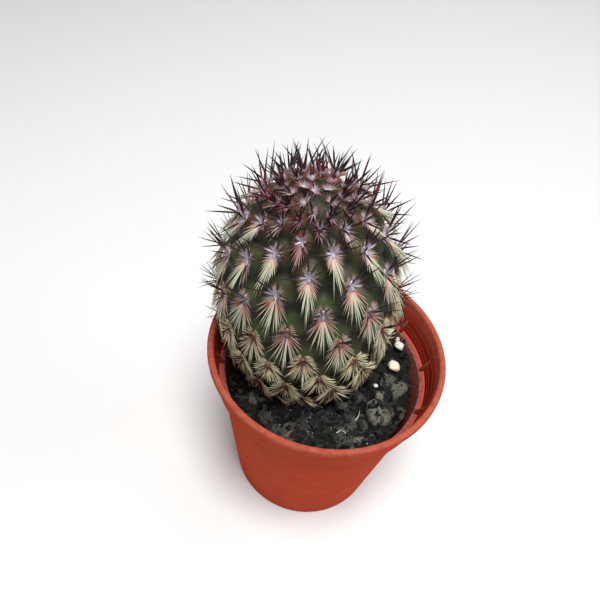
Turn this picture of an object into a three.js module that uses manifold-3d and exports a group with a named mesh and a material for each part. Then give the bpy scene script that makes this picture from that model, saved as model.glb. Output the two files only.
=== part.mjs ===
// A spiny globe cactus in a small round plastic nursery pot.
// Millimetres, +Z up. The origin is the middle of the pot's underside.
import * as THREE from 'three';
import { mergeVertices } from 'three/addons/utils/BufferGeometryUtils.js';
import Module from 'manifold-3d';

const wasm = await Module();
wasm.setup();

const { cos, sin, hypot, sqrt, exp, min, max, floor, abs, PI } = Math;
const rad = THREE.MathUtils.degToRad;
const clamp = THREE.MathUtils.clamp;
const lerp = THREE.MathUtils.lerp;
const smoothstep = THREE.MathUtils.smoothstep;

// Clearance between pieces that touch in the real thing
const clearance = 0.3;

// Pot: a tapered cup, a ledge around its top, and a flared collar with a rounded lip
const pot = {
  height: 50,
  sides: 60,
  footRadius: 19,
  footEdge: 0.5,
  taperTop: 40.3,
  taperTopRadius: 24.3,
  wall: 0.85,
  floor: 1.3,
  floorEdge: 0.8,
  ledgeHeight: 41.5,
  ledgeFall: 0.3,
  collarBase: 40.9,
  collarRadius: 25.6,
  collarTopRadius: 26.7,
  collarBore: 24.75,
  lipBase: 48.1,
  lipRound: 0.8,
  lipWidth: 1.4,
  rimRadius: 27.5,
};
pot.shoulder = pot.height - pot.lipRound;
pot.bore = pot.rimRadius - pot.lipWidth;

// Stacking ribs: upright gussets between the ledge and the collar
const rib = {
  count: 12,
  start: rad(14),
  inner: 23.7,
  height: 5,
  toe: 0.4,
  thickness: 0.7,
  sunk: 0.6,
  sunkInCollar: 0.35,
};

// Drain holes in a ring around the middle of the floor
const drain = { count: 6, radius: 1.9, circle: 12.5, sides: 12 };

// Soil
const soil = {
  level: 37.6,
  moundHeight: 4.6,
  moundAzimuth: rad(38),
  moundDistance: 21,
  moundSpread: 9,
  leftDrop: 1.6,
  crumbs: 70,
  crumbLift: 1.0,
  rings: 11,
  ringPower: 0.85,
  edgeDrop: 1.2,
  shrink: 0.4,
  shrinkAzimuth: rad(-25),
  baseInset: 1.0,
};

// Stem: an upright egg shape whose axis leans a little
const stem = {
  centre: new THREE.Vector3(-7.0, 3.3, 62.5),
  lean: new THREE.Vector3(-0.054, -0.133, 1).normalize(),
  radius: 19.3,
  above: 30.1,
  below: 38.9,
  rimGap: 1.5,
  cushion: 1.5,
};

// Spiral pattern of the tubercles: one every divergence angle, counted down from the crown
const spiral = {
  divergence: rad(137.653),
  start: rad(300.9),
  steep: 8,
  shallow: 13,
  crownArc: 6.35,
  fullStep: 0.6,
  fullArc: 10,
  buriedArc: 63,
  buriedStep: 3,
  relief: 0.27,
  cells: 3,
};

// Spines, lengths by place: the long ones hang down the stem, the short ones stand at the sides.
// Headings are in degrees from straight down the stem, lifts in degrees above its surface.
const radial = {
  headings: [-120, -62, -27, 0, 27, 62, 120],
  crownHeadings: [-100, 20, 140],
  footHeadings: [-110, -35, 10, 55, 150],
  footArc: 51,
  long: 8.6,
  footLong: 6.4,
  crownLong: 4,
  short: 2.6,
  crownShort: 3.4,
  narrow: 6,
  footNarrow: 1.5,
  lift: 13,
};
const central = {
  headings: [-146, 5, 142],
  length: 9.6,
  footLength: 7.4,
  crownLength: 8.6,
  downLift: 34,
  upLift: 46,
  crownLift: 66,
};

// Pale grains that lie on the soil: distance from the pot's axis, azimuth and size
const grains = [
  { name: 'perlite_1', radius: 19.7, azimuth: rad(30.5), size: 2.7 },
  { name: 'perlite_2', radius: 17.4, azimuth: rad(16.8), size: 3.1 },
  { name: 'perlite_3', radius: 21.0, azimuth: rad(37.9), size: 1.3 },
  { name: 'perlite_4', radius: 13.4, azimuth: rad(-1.7), size: 1.2 },
];
for (const grain of grains) {
  grain.x = grain.radius * cos(grain.azimuth);
  grain.y = grain.radius * sin(grain.azimuth);
}

// Reach of one facet of the soil beyond a grain's edge
const soilFacet = 2.1;

// Repeatable random numbers between 0 and 1
function randomSource(seed) {
  let state = seed;
  return () => {
    state = (state + 0x6d2b79f5) | 0;
    let mixed = Math.imul(state ^ (state >>> 15), 1 | state);
    mixed = (mixed + Math.imul(mixed ^ (mixed >>> 7), 61 | mixed)) ^ mixed;
    return ((mixed ^ (mixed >>> 14)) >>> 0) / 4294967296;
  };
}

// Mesh from a list of points and a list of index triples
function meshGeometry(points, faces) {
  const geometry = new THREE.BufferGeometry();
  const flat = points.flatMap((p) => [p.x, p.y, p.z]);
  geometry.setAttribute('position', new THREE.Float32BufferAttribute(flat, 3));
  geometry.setIndex(faces.flat());
  return geometry;
}

// three.js geometry to a closed solid and back
function toSolid(source) {
  const bare = source.clone();
  bare.deleteAttribute('normal');
  bare.deleteAttribute('uv');
  const merged = mergeVertices(bare, 1e-4);
  return new wasm.Manifold(new wasm.Mesh({
    numProp: 3,
    vertProperties: new Float32Array(merged.attributes.position.array),
    triVerts: new Uint32Array(merged.index.array),
  }));
}

function toGeometry(solid) {
  const mesh = solid.getMesh();
  const geometry = new THREE.BufferGeometry();
  geometry.setAttribute('position', new THREE.BufferAttribute(mesh.vertProperties, 3));
  geometry.setIndex(new THREE.BufferAttribute(mesh.triVerts, 1));
  return geometry;
}

// Joins many solids in pairs, which keeps each step small
function joinAll(solids) {
  let row = solids;
  while (row.length > 1) {
    const next = [];
    for (let i = 0; i < row.length; i += 2) {
      next.push(i + 1 < row.length ? row[i].add(row[i + 1]) : row[i]);
    }
    row = next;
  }
  return row[0];
}

// Pot wall: outside and inside radius at a height
function outsideRadius(z) {
  return lerp(pot.footRadius, pot.taperTopRadius, clamp(z / pot.taperTop, 0, 1));
}

function insideRadius(z) {
  if (z < pot.ledgeHeight) return outsideRadius(z) - pot.wall;
  const rise = clamp((z - pot.ledgeHeight) / (pot.shoulder - pot.ledgeHeight), 0, 1);
  return lerp(pot.collarBore, pot.bore, rise);
}

function potGeometry() {
  const lipArc = [];
  const lipSteps = 6;
  for (let i = 0; i <= lipSteps; i++) {
    const angle = (PI * i) / lipSteps;
    const radius = pot.rimRadius - (pot.lipWidth / 2) * (1 - cos(angle));
    lipArc.push([radius, pot.height - pot.lipRound * (1 - sin(angle))]);
  }
  const floorCorner = pot.floor + pot.floorEdge;
  const ledgeInner = pot.ledgeHeight - pot.ledgeFall;
  const profile = [
    [0, 0],
    [pot.footRadius - pot.footEdge, 0],
    [pot.footRadius, pot.footEdge],
    [pot.taperTopRadius, pot.taperTop],
    [pot.collarRadius, pot.collarBase],
    [pot.collarTopRadius, pot.lipBase],
    [pot.rimRadius - 0.2, pot.lipBase + 0.1],
    ...lipArc,
    [pot.collarBore, pot.ledgeHeight],
    [insideRadius(ledgeInner), ledgeInner],
    [insideRadius(floorCorner), floorCorner],
    [insideRadius(pot.floor) - pot.floorEdge, pot.floor],
    [0, pot.floor],
  ];
  return new THREE.LatheGeometry(profile.map(([r, z]) => new THREE.Vector2(r, z)), pot.sides)
    .rotateX(PI / 2);
}

function ribGeometry(azimuth) {
  const foot = pot.ledgeHeight - rib.sunk;
  const top = pot.ledgeHeight + rib.height;
  const shape = new THREE.Shape([
    new THREE.Vector2(rib.inner, foot),
    new THREE.Vector2(pot.collarBore + rib.sunkInCollar, foot),
    new THREE.Vector2(insideRadius(top) + rib.sunkInCollar, top),
    new THREE.Vector2(rib.inner, pot.ledgeHeight + rib.toe),
  ]);
  return new THREE.ExtrudeGeometry(shape, { depth: rib.thickness, bevelEnabled: false })
    .translate(0, 0, -rib.thickness / 2)
    .rotateX(PI / 2)
    .rotateZ(azimuth);
}

function potSolid() {
  let body = toSolid(potGeometry());
  for (let i = 0; i < rib.count; i++) {
    body = body.add(toSolid(ribGeometry(rib.start + (i * 2 * PI) / rib.count)));
  }
  for (let i = 0; i < drain.count; i++) {
    const azimuth = (i * 2 * PI) / drain.count;
    const tool = new THREE.CylinderGeometry(drain.radius, drain.radius, 4 * pot.floor, drain.sides)
      .rotateX(PI / 2)
      .translate(drain.circle * cos(azimuth), drain.circle * sin(azimuth), 0);
    body = body.subtract(toSolid(tool));
  }
  return body;
}

// Soil surface: level ground, a mound at the back right, and crumbs
const crumbs = [];
const crumbRandom = randomSource(11);
for (let i = 0; i < soil.crumbs; i++) {
  const distance = 24 * sqrt(crumbRandom());
  const azimuth = 2 * PI * crumbRandom();
  crumbs.push({
    x: distance * cos(azimuth),
    y: distance * sin(azimuth),
    reach: lerp(2, 4.2, crumbRandom()),
    lift: soil.crumbLift * lerp(-1, 1.3, crumbRandom()),
  });
}

function openSoil(x, y) {
  const moundX = soil.moundDistance * cos(soil.moundAzimuth);
  const moundY = soil.moundDistance * sin(soil.moundAzimuth);
  const fromMound = hypot(x - moundX, y - moundY) / soil.moundSpread;
  let z = soil.level + soil.moundHeight * exp(-fromMound * fromMound);
  z -= soil.leftDrop * smoothstep(-x, 6, 22);
  for (const crumb of crumbs) {
    const near = hypot(x - crumb.x, y - crumb.y) / crumb.reach;
    if (near < 1) z += crumb.lift * (1 - near * near) ** 2;
  }
  return z;
}

// The ground is level under each grain
function soilHeight(x, y) {
  let z = openSoil(x, y);
  for (const grain of grains) {
    const away = hypot(x - grain.x, y - grain.y);
    const level = openSoil(grain.x, grain.y);
    z = lerp(level, z, smoothstep(away, grain.size / 2 + 1.2, grain.size / 2 + 3.2));
  }
  return z;
}

// Radius of the soil's edge, which has shrunk from the wall on one side
function soilEdge(azimuth) {
  const wall = insideRadius(soil.level);
  const height = soilHeight(wall * cos(azimuth), wall * sin(azimuth)) - soil.edgeDrop - 1;
  const shrink = soil.shrink * max(0, cos(azimuth - soil.shrinkAzimuth));
  return insideRadius(height) - clearance - shrink;
}

function soilGeometry() {
  const sides = pot.sides;
  const points = [];
  const faces = [];
  const base = pot.floor + clearance;
  const baseRadius = insideRadius(base) - clearance - soil.baseInset;
  points.push(new THREE.Vector3(0, 0, soilHeight(0, 0)));
  for (let ring = 1; ring <= soil.rings; ring++) {
    for (let k = 0; k < sides; k++) {
      const azimuth = (2 * PI * k) / sides;
      const reach = soilEdge(azimuth) * (ring / soil.rings) ** soil.ringPower;
      const x = reach * cos(azimuth);
      const y = reach * sin(azimuth);
      const drop = ring === soil.rings ? soil.edgeDrop : 0;
      points.push(new THREE.Vector3(x, y, soilHeight(x, y) - drop));
    }
  }
  for (let k = 0; k < sides; k++) {
    const azimuth = (2 * PI * k) / sides;
    points.push(new THREE.Vector3(baseRadius * cos(azimuth), baseRadius * sin(azimuth), base));
  }
  points.push(new THREE.Vector3(0, 0, base));
  const last = points.length - 1;
  const at = (ring, k) => 1 + (ring - 1) * sides + ((k + sides) % sides);
  for (let k = 0; k < sides; k++) {
    faces.push([0, at(1, k), at(1, k + 1)]);
    for (let ring = 1; ring <= soil.rings; ring++) {
      faces.push([at(ring, k), at(ring + 1, k), at(ring + 1, k + 1)]);
      faces.push([at(ring, k), at(ring + 1, k + 1), at(ring, k + 1)]);
    }
    faces.push([at(soil.rings + 1, k), last, at(soil.rings + 1, k + 1)]);
  }
  return meshGeometry(points, faces);
}

// Stem frame: two level directions across the leaning axis
const across = new THREE.Vector3(1, 0, 0).addScaledVector(stem.lean, -stem.lean.x).normalize();
const along = new THREE.Vector3().crossVectors(stem.lean, across);

// Angle from the crown at each length of arc down the stem's profile
const profileSteps = 600;
const profileArc = [0];
for (let i = 1; i <= profileSteps; i++) {
  const angle = (PI * (i - 0.5)) / profileSteps;
  const height = cos(angle) > 0 ? stem.above : stem.below;
  const step = hypot(stem.radius * cos(angle), height * sin(angle)) * (PI / profileSteps);
  profileArc.push(profileArc[i - 1] + step);
}
const wholeArc = profileArc[profileSteps];

function crownAngle(arc) {
  let i = 1;
  while (i < profileSteps && profileArc[i] < arc) i++;
  const part = (arc - profileArc[i - 1]) / (profileArc[i] - profileArc[i - 1]);
  return (PI * (i - 1 + clamp(part, 0, 1))) / profileSteps;
}

// Arc between one tubercle and the next in the count
function arcStep(arc) {
  if (arc > spiral.buriedArc) return spiral.buriedStep;
  return spiral.fullStep * (1 - exp(-((arc / spiral.fullArc) ** 2)));
}

// Arc at each count, kept at every cell of the surface grid
const crownCount = spiral.crownArc / (2 * arcStep(spiral.crownArc));
const arcTable = [0];
for (let i = 1; arcTable[i - 1] < wholeArc; i++) {
  const count = i / spiral.cells;
  const crown = spiral.crownArc * sqrt(count / crownCount);
  const grown = arcTable[i - 1] + arcStep(arcTable[i - 1]) / spiral.cells;
  arcTable.push(count < crownCount ? crown : grown);
}
const poleCell = arcTable.length - 1;
const arcAt = (cell) => min(wholeArc, arcTable[clamp(cell, 0, poleCell)]);

// Point on the egg shape, with its outward, downward and sideways directions
function stemPlace(arc, azimuth) {
  const angle = crownAngle(arc);
  const height = cos(angle) > 0 ? stem.above : stem.below;
  const outward = new THREE.Vector3()
    .addScaledVector(across, cos(azimuth))
    .addScaledVector(along, sin(azimuth));
  const side = new THREE.Vector3()
    .addScaledVector(across, -sin(azimuth))
    .addScaledVector(along, cos(azimuth));
  const point = stem.centre.clone()
    .addScaledVector(outward, stem.radius * sin(angle))
    .addScaledVector(stem.lean, height * cos(angle));
  const down = outward.clone().multiplyScalar(stem.radius * cos(angle))
    .addScaledVector(stem.lean, -height * sin(angle))
    .normalize();
  const normal = new THREE.Vector3().crossVectors(down, side);
  return { point, normal, down, side, girth: max(0.5, stem.radius * sin(angle)) };
}

// Keeps the stem's flank off the pot's wall and rim
function offRim(point) {
  if (point.z > pot.height + 3) return point;
  const free = insideRadius(min(point.z - stem.cushion, pot.height - 1)) - stem.rimGap;
  const limit = free + max(0, point.z - pot.height) * 0.8;
  const reach = hypot(point.x, point.y);
  if (reach > limit) {
    point.x *= limit / reach;
    point.y *= limit / reach;
  }
  return point;
}

// Width of ground that one tubercle has
function spacing(arc, girth) {
  return sqrt(2 * PI * girth * min(arcStep(max(arc, spiral.crownArc)), spiral.fullStep));
}

// Turn about the stem from one tubercle to the next along each set of spiral rows
const turnSteep = -spiral.steep * spiral.divergence + 3 * 2 * PI;
const turnShallow = -spiral.shallow * spiral.divergence + 5 * 2 * PI;

// Depth of the surface below the tubercle tips at a place on the spiral grid
function valleyDepth(i, j, arc, girth) {
  const cells = spiral.cells;
  const gap = spacing(arc, girth);
  let nearest = gap;
  for (let a = floor(i / cells) - 1; a <= floor(i / cells) + 2; a++) {
    for (let b = floor(j / cells) - 1; b <= floor(j / cells) + 2; b++) {
      const count = spiral.steep * a + spiral.shallow * b;
      const turn = (i / cells - a) * turnSteep + (j / cells - b) * turnShallow;
      const drop = arc - arcAt(count * cells);
      if (count >= 0) nearest = min(nearest, hypot(girth * turn, drop));
    }
  }
  const slope = min(1, nearest / (0.54 * gap)) ** 1.5;
  const buried = smoothstep(arc, spiral.buriedArc - 6, spiral.buriedArc);
  return spiral.relief * gap * lerp(slope, 0.6, buried);
}

// Stem with its tubercles: a grid laid along the two sets of spiral rows
function stemGeometry() {
  const cells = spiral.cells;
  const points = [stemPlace(0, 0).point, stemPlace(wholeArc, 0).point];
  const index = new Map();
  const node = (i, j) => {
    const cell = spiral.steep * i + spiral.shallow * j;
    if (cell <= 0) return 0;
    if (cell >= poleCell) return 1;
    const wrap = floor(j / (spiral.steep * cells));
    const key = `${i + wrap * spiral.shallow * cells},${j - wrap * spiral.steep * cells}`;
    if (!index.has(key)) {
      const arc = arcAt(cell);
      const azimuth = spiral.start + (i * turnSteep + j * turnShallow) / cells;
      const { point, normal, girth } = stemPlace(arc, azimuth);
      point.addScaledVector(normal, -valleyDepth(i, j, arc, girth));
      points.push(offRim(point));
      index.set(key, points.length - 1);
    }
    return index.get(key);
  };
  const faces = [];
  const addFace = (a, b, c) => {
    if (a !== b && b !== c && c !== a) faces.push([a, b, c]);
  };
  for (let j = 0; j < spiral.steep * cells; j++) {
    const first = floor((-spiral.shallow * (j + 1)) / spiral.steep) - 2;
    const last = first + poleCell / spiral.steep + 6;
    for (let i = first; i < last; i++) {
      addFace(node(i, j), node(i + 1, j), node(i, j + 1));
      addFace(node(i + 1, j), node(i + 1, j + 1), node(i, j + 1));
    }
  }
  return meshGeometry(points, faces);
}

// Whether a point is clear of the pot and of the soil
function isClear(p) {
  const reach = hypot(p.x, p.y);
  const margin = 0.5;
  if (reach < pot.rimRadius + margin && p.z < pot.height + margin) {
    const belowRibTops = p.z < pot.ledgeHeight + rib.height + margin;
    const wall = belowRibTops ? min(insideRadius(pot.ledgeHeight - 1), rib.inner) : insideRadius(p.z);
    if (reach > wall - margin) return false;
  }
  return p.z > soilHeight(p.x, p.y) + 0.8 || reach > pot.rimRadius;
}

// Longest clear needle from a root: bent outward from the stem first, then shortened
function clearTip(root, normal, heading, lift, length) {
  const tip = new THREE.Vector3();
  for (const share of [1, 0.8, 0.6, 0.42]) {
    for (const bend of [0, 12, 26, 42]) {
      const angle = lift + rad(bend);
      const aim = heading.clone().multiplyScalar(cos(angle)).addScaledVector(normal, sin(angle));
      let clear = true;
      for (const step of [0.25, 0.5, 0.75, 1]) {
        tip.copy(root).addScaledVector(aim, length * share * step);
        clear = clear && isClear(tip);
      }
      if (clear) return tip;
    }
  }
  return null;
}

const spineRandom = randomSource(29);
const vary = (spread) => 1 + spread * (2 * spineRandom() - 1);

// Place, size and stage of growth of one areole, the cushion that the spines grow from
function areolePlace(count) {
  const arc = arcAt(count * spiral.cells);
  const place = stemPlace(arc, spiral.start - count * spiral.divergence);
  const young = 1 - smoothstep(arc, 3, 13);
  let headings = radial.headings;
  if (young > 0.5) headings = radial.crownHeadings;
  if (arc > radial.footArc) headings = radial.footHeadings;
  return {
    ...place,
    arc,
    young,
    headings,
    old: smoothstep(arc, 30, 52),
    size: clamp(spacing(arc, place.girth) / 8, 0.36, 1),
    sideways: (degrees) => new THREE.Vector3()
      .addScaledVector(place.down, cos(rad(degrees)))
      .addScaledVector(place.side, sin(rad(degrees))),
  };
}

// Length of a radial spine by its heading
function radialLength(areole, heading) {
  const { young, old } = areole;
  const long = lerp(lerp(radial.long, radial.footLong, old), radial.crownLong, young);
  const short = lerp(radial.short, radial.crownShort, young);
  const narrow = lerp(radial.narrow, radial.footNarrow, max(old, young));
  return lerp(short, long, ((1 + cos(rad(heading))) / 2) ** narrow);
}

// Areole cushion as one closed solid: a rim whose facets are drawn out into the radial spines,
// and an inner cap whose facets are drawn out into the central ones
function areoleSolid(areole) {
  const { normal, sideways, size, young, old, headings } = areole;
  const root = offRim(areole.point.clone());
  const rimCount = headings.length;
  const points = [];
  const faces = [];
  const addPoint = (heading, reach, depth) => {
    points.push(root.clone().addScaledVector(sideways(heading), reach)
      .addScaledVector(normal, depth));
  };
  // Corners of the rim, each halfway between two radials
  const addRing = (depth, width) => {
    for (let k = 0; k < rimCount; k++) {
      const next = headings[(k + 1) % rimCount] + (k + 1 === rimCount ? 360 : 0);
      const heading = (headings[k] + next) / 2;
      addPoint(heading, width * lerp(0.8, 1.25, abs(cos(rad(heading)))), depth);
    }
  };
  addRing(-1.5 * size - 0.35, 1.1 * size);
  addRing(0.15 * size, 1.2 * size);
  const upper = rimCount;
  const inner = points.length;
  const innerHeadings = central.headings.map((heading) => heading + 180);
  innerHeadings.forEach((heading) => addPoint(heading, 0.42 * size, 0.6 * size));
  const centre = points.length;
  addPoint(0, 0, 0.75 * size);
  const addSpike = (a, b, c, heading, lift, length) => {
    const middle = points[a].clone().add(points[b]).add(points[c]).divideScalar(3);
    const tip = clearTip(middle, normal, sideways(heading), rad(lift), length);
    if (!tip) {
      faces.push([a, b, c]);
      return;
    }
    points.push(tip);
    const t = points.length - 1;
    faces.push([a, b, t], [b, c, t], [c, a, t]);
  };
  const turn = (a, b) => abs(((a - b + 540) % 360) - 180);
  const nearestInner = (heading) => {
    let best = 0;
    innerHeadings.forEach((h, m) => {
      if (turn(h, heading) < turn(innerHeadings[best], heading)) best = m;
    });
    return best;
  };
  for (let k = 0; k < rimCount; k++) {
    const before = (k + rimCount - 1) % rimCount;
    const owner = nearestInner(headings[k]);
    const next = nearestInner(headings[(k + 1) % rimCount]);
    const length = radialLength(areole, headings[k]) * vary(0.1);
    const heading = headings[k] * vary(0.04);
    addSpike(upper + before, upper + k, inner + owner, heading, radial.lift, length);
    faces.push([before, k, upper + k], [before, upper + k, upper + before]);
    if (k > 0 && k < rimCount - 1) faces.push([0, k + 1, k]);
    if (next !== owner) faces.push([upper + k, inner + next, inner + owner]);
  }
  for (let m = 0; m < central.headings.length; m++) {
    const other = (m + 1) % central.headings.length;
    const heading = central.headings[(m + 2) % central.headings.length];
    const pointsDown = abs(heading) < 90;
    const lift = lerp(pointsDown ? central.downLift : central.upLift, central.crownLift, young);
    const grown = lerp(central.length, central.footLength, old);
    const length = lerp(grown, central.crownLength, young) * vary(0.12);
    addSpike(inner + m, inner + other, centre, heading * vary(0.05), lift * vary(0.08), length);
  }
  return toSolid(meshGeometry(points, faces));
}

function cactusSolid() {
  const solids = [toSolid(stemGeometry())];
  for (let count = 0; arcAt(count * spiral.cells) < spiral.buriedArc; count++) {
    const areole = areolePlace(count);
    const ground = soilHeight(areole.point.x, areole.point.y);
    if (areole.point.z > ground + 1.6) solids.push(areoleSolid(areole));
  }
  return joinAll(solids);
}

// Hole in the soil that the foot of the stem stands in
function stemHole() {
  const roomy = stem.radius + clearance + 0.15;
  const hole = new THREE.SphereGeometry(1, 48, 28).rotateX(PI / 2);
  const spots = hole.attributes.position;
  const place = new THREE.Vector3();
  for (let i = 0; i < spots.count; i++) {
    const z = spots.getZ(i);
    place.copy(stem.centre)
      .addScaledVector(across, roomy * spots.getX(i))
      .addScaledVector(along, roomy * spots.getY(i))
      .addScaledVector(stem.lean, (z > 0 ? stem.above : stem.below + 0.5) * z);
    spots.setXYZ(i, place.x, place.y, place.z);
  }
  return toSolid(hole);
}

function soilSolid() {
  return toSolid(soilGeometry()).subtract(stemHole());
}

// Highest point of the faceted soil that a grain could touch
function groundUnder(grain) {
  const spots = soilGeometry().attributes.position;
  let ground = soilHeight(grain.x, grain.y);
  for (let i = 0; i < spots.count; i++) {
    const away = hypot(spots.getX(i) - grain.x, spots.getY(i) - grain.y);
    if (away < grain.size / 2 + soilFacet) ground = max(ground, spots.getZ(i));
  }
  return ground;
}

// Perlite grain: a lumpy grain with a flat underside
function grainGeometry(grain, seed) {
  const random = randomSource(seed);
  const sphere = new THREE.IcosahedronGeometry(1, 1);
  sphere.deleteAttribute('normal');
  sphere.deleteAttribute('uv');
  const geometry = mergeVertices(sphere);
  const spots = geometry.attributes.position;
  const flat = -0.55;
  const squat = 0.82;
  for (let i = 0; i < spots.count; i++) {
    const scale = (grain.size / 2) * lerp(0.86, 1.12, random());
    const z = (max(flat, spots.getZ(i) * squat) - flat) * (grain.size / 2);
    spots.setXYZ(i, spots.getX(i) * scale, spots.getY(i) * scale, z);
  }
  return geometry.translate(grain.x, grain.y, groundUnder(grain) + clearance);
}

function finish(colour, roughness) {
  return new THREE.MeshStandardMaterial({ color: colour, roughness, metalness: 0 });
}

const model = new THREE.Group();
function addNode(name, geometry, material) {
  const mesh = new THREE.Mesh(geometry, material);
  mesh.name = name;
  model.add(mesh);
}

addNode('pot', toGeometry(potSolid()), finish(0xb0442c, 0.45));
addNode('soil', toGeometry(soilSolid()), finish(0x26221f, 0.9));
addNode('cactus', toGeometry(cactusSolid()), finish(0x4c5a36, 0.6));
grains.forEach((grain, i) => {
  addNode(grain.name, grainGeometry(grain, 41 + i), finish(0xe8e2d2, 0.85));
});

export default model;
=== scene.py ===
import math
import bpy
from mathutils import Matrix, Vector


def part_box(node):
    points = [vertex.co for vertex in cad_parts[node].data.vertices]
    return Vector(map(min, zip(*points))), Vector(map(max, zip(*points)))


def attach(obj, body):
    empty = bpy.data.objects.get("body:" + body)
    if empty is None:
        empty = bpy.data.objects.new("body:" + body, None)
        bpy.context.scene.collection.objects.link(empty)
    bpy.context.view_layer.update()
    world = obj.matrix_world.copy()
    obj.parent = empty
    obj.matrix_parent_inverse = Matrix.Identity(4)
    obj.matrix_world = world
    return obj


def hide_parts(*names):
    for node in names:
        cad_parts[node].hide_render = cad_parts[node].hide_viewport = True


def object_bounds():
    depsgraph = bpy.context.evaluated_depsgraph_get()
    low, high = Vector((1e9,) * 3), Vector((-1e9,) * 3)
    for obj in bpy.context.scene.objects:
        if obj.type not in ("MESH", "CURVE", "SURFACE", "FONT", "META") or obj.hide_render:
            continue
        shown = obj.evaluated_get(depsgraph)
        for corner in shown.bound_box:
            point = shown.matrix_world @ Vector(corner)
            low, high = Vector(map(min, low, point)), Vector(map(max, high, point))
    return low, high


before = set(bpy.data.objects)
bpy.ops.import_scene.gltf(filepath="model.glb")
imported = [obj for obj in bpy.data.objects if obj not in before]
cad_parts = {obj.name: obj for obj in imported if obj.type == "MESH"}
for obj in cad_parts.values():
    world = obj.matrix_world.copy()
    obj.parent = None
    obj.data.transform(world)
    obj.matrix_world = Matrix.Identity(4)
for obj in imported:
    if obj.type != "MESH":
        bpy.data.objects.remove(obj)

from types import SimpleNamespace

import bmesh
import bpy
import numpy as np
from mathutils import Matrix, Vector, noise

cad_low, cad_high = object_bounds()

# Lengths are millimetres, as in the CAD source, until mesh_object turns them into metres.
# Materials and lights are in metres.
MM = 0.001

# Pot, as in the CAD source
POT_HEIGHT = 50.0
FOOT_RADIUS = 19.0
TAPER_TOP = 40.3
TAPER_TOP_RADIUS = 24.3
WALL = 0.85
FLOOR = 1.3
LEDGE_HEIGHT = 41.5
LEDGE_FALL = 0.3
COLLAR_BASE = 40.9
COLLAR_RADIUS = 25.6
COLLAR_TOP_RADIUS = 26.7
COLLAR_BORE = 24.75
LIP_BASE = 48.1
LIP_ROUND = 0.8
LIP_WIDTH = 1.4
RIM_RADIUS = 27.5
SHOULDER = POT_HEIGHT - LIP_ROUND
BORE = RIM_RADIUS - LIP_WIDTH
RIBS = 12
RIB_START = math.radians(14)
RIB_INNER = 23.7
RIB_HEIGHT = 5.0
RIB_TOE = 0.4
RIB_THICKNESS = 0.7
RIB_SUNK = 0.6
RIB_SUNK_IN_COLLAR = 0.35
DRAINS = 6
DRAIN_RADIUS = 1.9
DRAIN_CIRCLE = 12.5
CLEARANCE = 0.3

POT_SIDES = 192

# Steps turned into the inner face of the collar
GROOVE_HEIGHTS = (45.6, 43.6, 42.6)

# Soil, as in the CAD source
SOIL_LEVEL = 37.6
MOUND_HEIGHT = 4.6
MOUND_AZIMUTH = math.radians(38)
MOUND_DISTANCE = 21.0
MOUND_SPREAD = 9.0
LEFT_DROP = 1.6
CRUMB_LIFT = 1.0
EDGE_DROP = 1.2
BUMPS = 70
BUMP_REACH = 24
SHRINK = 0.4
SHRINK_AZIMUTH = math.radians(-25)

# Stem and the spiral of its tubercles, as in the CAD source
STEM_CENTRE = np.array([-7.0, 3.3, 62.5])
STEM_LEAN = np.array([-0.054, -0.133, 1.0])
STEM_RADIUS = 19.3
STEM_ABOVE = 30.1
STEM_BELOW = 38.9
RIM_GAP = 1.5
CUSHION = 1.5
DIVERGENCE = math.radians(137.653)
SPIRAL_START = math.radians(300.9)
STEEP = 8
SHALLOW = 13
CROWN_ARC = 6.35
FULL_STEP = 0.6
FULL_ARC = 10.0
BURIED_ARC = 63.0
BURIED_STEP = 3.0
RELIEF = 0.27
TABLE_CELLS = 3

# Perlite grains: distance from the pot's axis, azimuth in degrees, size
GRAINS = {
    "perlite_1": (19.7, 30.5, 2.7),
    "perlite_2": (17.4, 16.8, 3.1),
    "perlite_3": (21.0, 37.9, 1.3),
    "perlite_4": (13.4, -1.7, 1.2),
}


# Small helpers

def smoothstep(value, low, high):
    t = np.clip((value - low) / (high - low), 0.0, 1.0)
    return t * t * (3 - 2 * t)


def mix(a, b, t):
    return a + (b - a) * t


def polar(distance, azimuth):
    return distance * math.cos(azimuth), distance * math.sin(azimuth)


def random_source(seed):
    """The CAD source's repeatable random numbers, so that both place the same crumbs."""
    state = seed

    def wrap(value):
        return value & 0xFFFFFFFF

    def draw():
        nonlocal state
        state = wrap(state + 0x6D2B79F5)
        mixed = wrap((state ^ (state >> 15)) * (1 | state))
        mixed = wrap(mixed + wrap((mixed ^ (mixed >> 7)) * (61 | mixed))) ^ mixed
        return wrap(mixed ^ (mixed >> 14)) / 4294967296

    return draw


def mesh_object(name, points, faces, material, smooth=True, **attributes):
    """A mesh from points in millimetres, with one float attribute for each keyword."""
    mesh = bpy.data.meshes.new(name)
    scaled = np.asarray(points, float) * MM
    mesh.from_pydata(scaled.tolist(), [], [list(map(int, f)) for f in faces])
    for key, values in attributes.items():
        layer = mesh.attributes.new(key, "FLOAT", "POINT")
        layer.data.foreach_set("value", np.asarray(values, np.float32))
    mesh.polygons.foreach_set("use_smooth", [smooth] * len(mesh.polygons))
    mesh.update()
    piece = bpy.data.objects.new(name, mesh)
    bpy.context.scene.collection.objects.link(piece)
    mesh.materials.append(material)
    return piece


def cut_away(piece, cutter):
    """Subtracts one mesh from another and removes the cutter."""
    modifier = piece.modifiers.new("cut", "BOOLEAN")
    modifier.operation = "DIFFERENCE"
    modifier.solver = "EXACT"
    modifier.object = cutter
    graph = bpy.context.evaluated_depsgraph_get()
    result = bpy.data.meshes.new_from_object(piece.evaluated_get(graph))
    piece.modifiers.clear()
    piece.data = result
    bpy.data.objects.remove(cutter)


# Materials

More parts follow.
